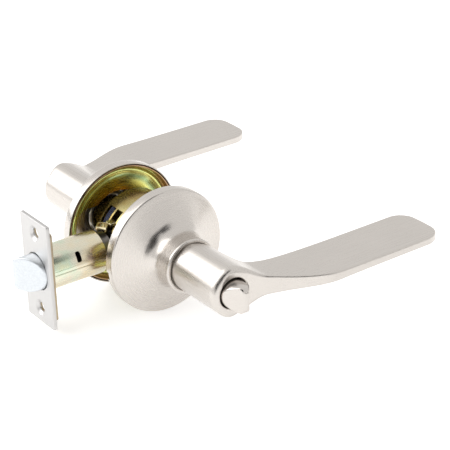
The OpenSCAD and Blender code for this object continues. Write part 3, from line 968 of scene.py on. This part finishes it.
nickel_lever = nickel("satin_nickel_lever", lever_lines, roughness=0.3)
nickel_rose = nickel("satin_nickel_rose", lambda f: f.ringed(2000.0, 3.0), roughness=0.27)
nickel_plate = nickel("satin_nickel_plate", lambda f: f.stretched((2000.0, 2000.0, 50.0)), roughness=0.36,
                      tones=((0.57, 0.56, 0.555), (0.63, 0.62, 0.61)))
nickel_turn = nickel("satin_nickel_turn", lambda f: f.stretched((2000.0, 80.0, 2000.0)), roughness=0.22)
bolt_zinc = plated("bolt_zinc", [(0.35, (0.66, 0.69, 0.72)), (0.65, (0.73, 0.76, 0.79))], 900.0, 0.42,
                   0.00002)
clear_zinc = plated("clear_zinc", [(0.3, (0.70, 0.72, 0.66)), (0.5, (0.80, 0.79, 0.70)),
                                   (0.7, (0.72, 0.78, 0.74))], 90.0, 0.3)
tube_zinc = zinc_tube()
dish = dichromate_and_groove_shade()
yellow_zinc = plated("yellow_zinc", [(0.3, (0.30, 0.20, 0.07)), (0.45, (0.44, 0.33, 0.12)),
                                     (0.6, (0.48, 0.42, 0.20)), (0.75, (0.50, 0.30, 0.16))], 70.0, 0.26)
drab_chromate = plated("drab_chromate", [(0.3, (0.34, 0.27, 0.19)), (0.7, (0.46, 0.38, 0.26))], 90.0, 0.34)
bright_chromate = plated("bright_chromate", [(0.3, (0.70, 0.54, 0.30)), (0.5, (0.84, 0.76, 0.54)),
                                             (0.7, (0.74, 0.64, 0.36))], 130.0, 0.2)
spring_black = plated("black_spring", [(0.35, (0.015, 0.016, 0.024)), (0.65, (0.05, 0.055, 0.085))],
                      150.0, 0.28)
dark_steel = plated("dark_steel", [(0.3, (0.12, 0.11, 0.10)), (0.7, (0.26, 0.24, 0.22))], 120.0, 0.36)
brass = plated("brass", [(0.3, (0.70, 0.50, 0.20)), (0.7, (0.85, 0.66, 0.32))], 120.0, 0.25)
nylon = pale("nylon", (0.70, 0.68, 0.62), (0.80, 0.78, 0.73), 0.45)


# ---- Pieces ----

for side_name, side in SIDES.items():
    lever = side_name + "_lever"
    piece(lever_mesh(side), lever, lever, nickel_lever, 50)
    piece(rose_mesh(side), side_name + "_rose", "lockset", nickel_rose)
    piece(liner_mesh(side), side_name + "_liner", "lockset", dish, 32)
    piece(torsion_spring_mesh(side), side_name + "_spring", "lockset", spring_black)

piece(turn_mesh(), "thumb_turn", "privacy_turn", nickel_turn, 60)
piece(plug_mesh(), "release_plug", "exterior_lever", nickel_turn)
piece(bolt_mesh(), "latch_bolt", "latch_bolt", bolt_zinc, 60)
piece(faceplate_mesh(), "faceplate", "lockset", nickel_plate, keep_flat=True)
piece(back_plate_mesh(), "back_plate", "lockset", drab_chromate, keep_flat=True)
piece(tube_mesh(), "latch_tube", "lockset", tube_zinc, 30)
piece(shield_mesh(), "chassis_shield", "lockset", yellow_zinc)
piece(bracket_mesh(), "latch_bracket", "lockset", bright_chromate, keep_flat=True)

bolt_coil = piece(bolt_spring_mesh(), "bolt_spring", "lockset", dark_steel)
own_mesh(bolt_coil)
yoke_coils = piece(retractor_spring_mesh(), "retractor_springs", "lockset", spring_black)
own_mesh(yoke_coils)

SLOT_FINISH = {"satin_nickel": nickel_turn, "bolt_zinc": bolt_zinc, "clear_zinc": clear_zinc,
               "yellow_zinc": yellow_zinc, "black_spring": spring_black, "dark_steel": dark_steel,
               "brass": brass, "nylon": nylon}
slot_of = {}
for entry in frame["record"]["subparts"]:
    slot_of[entry["node"]] = entry["material_slot"]
for node_name, node in frame["nodes"].items():
    if node.hide_render:
        continue
    finish = SLOT_FINISH[slot_of[node_name]]
    if not node.material_slots:
        node.data.materials.append(finish)
    for holder in node.material_slots:
        holder.material = finish


# ---- Floor, lights and camera ----

def card(name, centre, facing, width, height, colour, glow=0.0):
    """Flat card that faces a point; it isn't part of the object."""
    back = (Vector(centre) - Vector(facing)).normalized()
    right = Vector((0, 0, 1)).cross(back)
    right = right.normalized() if right.length > 1e-6 else Vector((1, 0, 0))
    up = back.cross(right)
    mesh = bpy.data.meshes.new(name)
    corners = [Vector(centre) + a * right * width / 2 + b * up * height / 2
               for a, b in ((-1, -1), (1, -1), (1, 1), (-1, 1))]
    mesh.from_pydata([tuple(c) for c in corners], [], [(0, 1, 2, 3)])
    obj = bpy.data.objects.new(name, mesh)
    bpy.context.scene.collection.objects.link(obj)
    material = bpy.data.materials.new(name)
    material.use_nodes = True
    shader = material.node_tree.nodes["Principled BSDF"]
    shader.inputs["Base Color"].default_value = (*colour, 1)
    shader.inputs["Roughness"].default_value = 0.9
    shader.inputs["Specular IOR Level"].default_value = 0.0
    shader.inputs["Emission Color"].default_value = (1, 1, 1, 1)
    shader.inputs["Emission Strength"].default_value = glow
    mesh.materials.append(material)
    return obj


def soft_box(name, toward, distance, width, height, glow):
    """Area light seen from the object in a direction, with an even glow of white 1."""
    centre = Vector(toward).normalized() * distance
    light = bpy.data.lights.new(name, "AREA")
    light.shape = "RECTANGLE"
    light.size = width
    light.size_y = height
    light.energy = glow * math.pi * width * height
    obj = bpy.data.objects.new(name, light)
    obj.location = centre
    obj.rotation_mode = "QUATERNION"
    obj.rotation_quaternion = (-centre).to_track_quat("-Z", "Y")
    obj.visible_camera = False
    bpy.context.scene.collection.objects.link(obj)


def make_camera():
    """The photograph's viewing angle: azimuth, elevation and roll round the aim, at its distance."""
    azimuth = math.radians(-35.29)
    elevation = math.radians(26.57)
    roll = math.radians(-1.74)
    aim = Vector((0.0516, -0.001, -0.0102))
    distance = 0.89
    back = Vector((math.sin(azimuth) * math.cos(elevation), -math.cos(azimuth) * math.cos(elevation),
                   math.sin(elevation)))
    level = Vector((math.cos(azimuth), math.sin(azimuth), 0))
    upright = back.cross(level)
    right = level * math.cos(roll) + upright * math.sin(roll)
    up = upright * math.cos(roll) - level * math.sin(roll)
    data = bpy.data.cameras.new("camera")
    data.lens = 133.9
    data.sensor_width = 36
    data.clip_start = 0.05
    camera = bpy.data.objects.new("camera", data)
    camera.matrix_world = Matrix.Translation(aim + back * distance) @ Matrix(
        (right, up, back)).transposed().to_4x4()
    bpy.context.scene.collection.objects.link(camera)
    bpy.context.scene.camera = camera


BLACK = (0.02, 0.02, 0.02)
floor_z = (rose_low.z - 0.02) * MM
floor = card("floor", (0, 0, floor_z), (0, 0, floor_z - 1), 8, 8, (0.88, 0.88, 0.875), glow=0.5)
floor.data.flip_normals()

# Dark cards, seen only as reflections: the smudge on the bell, and the lines along edges.
card_distance = 1.2
card_height = 0.7
for name, toward, width in (("dark_wall_left", (-0.62, -0.75, 0.22), 0.55),
                            ("dark_wall", (-0.50, -0.69, 0.52), 1.1),
                            ("dark_wall_top", (0.10, -0.66, 0.76), 0.55)):
    dark = card(name, Vector(toward).normalized() * card_distance, (0, 0, 0), width, card_height, BLACK)
    dark.visible_camera = False
# Painted shade: a grey patch on the floor that only reflections see, darkening the floor where the levers'
# edges reflect it.
painted_floor_shade = card("painted_floor_shade", (0.185, -0.305, floor_z + 0.001), (0.185, -0.305, 1), 0.22, 0.23,
                  (0.26, 0.245, 0.23))
painted_floor_shade.visible_camera = False
painted_floor_shade.visible_shadow = False
painted_floor_shade.visible_diffuse = False
skirting = card("skirting", (-0.95, 1.04, 0.03), (0, 0, 0.03), 1.1, 0.12, BLACK)
skirting.visible_camera = False

world = bpy.data.worlds.new("studio")
bpy.context.scene.world = world
world.use_nodes = True
background = world.node_tree.nodes["Background"]
background.inputs["Color"].default_value = (1.0, 0.995, 0.985, 1)
background.inputs["Strength"].default_value = 0.88

soft_box("back_left_light", (-0.56, 0.73, 0.35), 1.3, 0.8, 0.7, 1.5)
soft_box("left_light", (-0.58, 0.36, 0.70), 1.2, 1.2, 1.2, 1.3)

bpy.context.scene.view_settings.view_transform = "Standard"
make_camera()
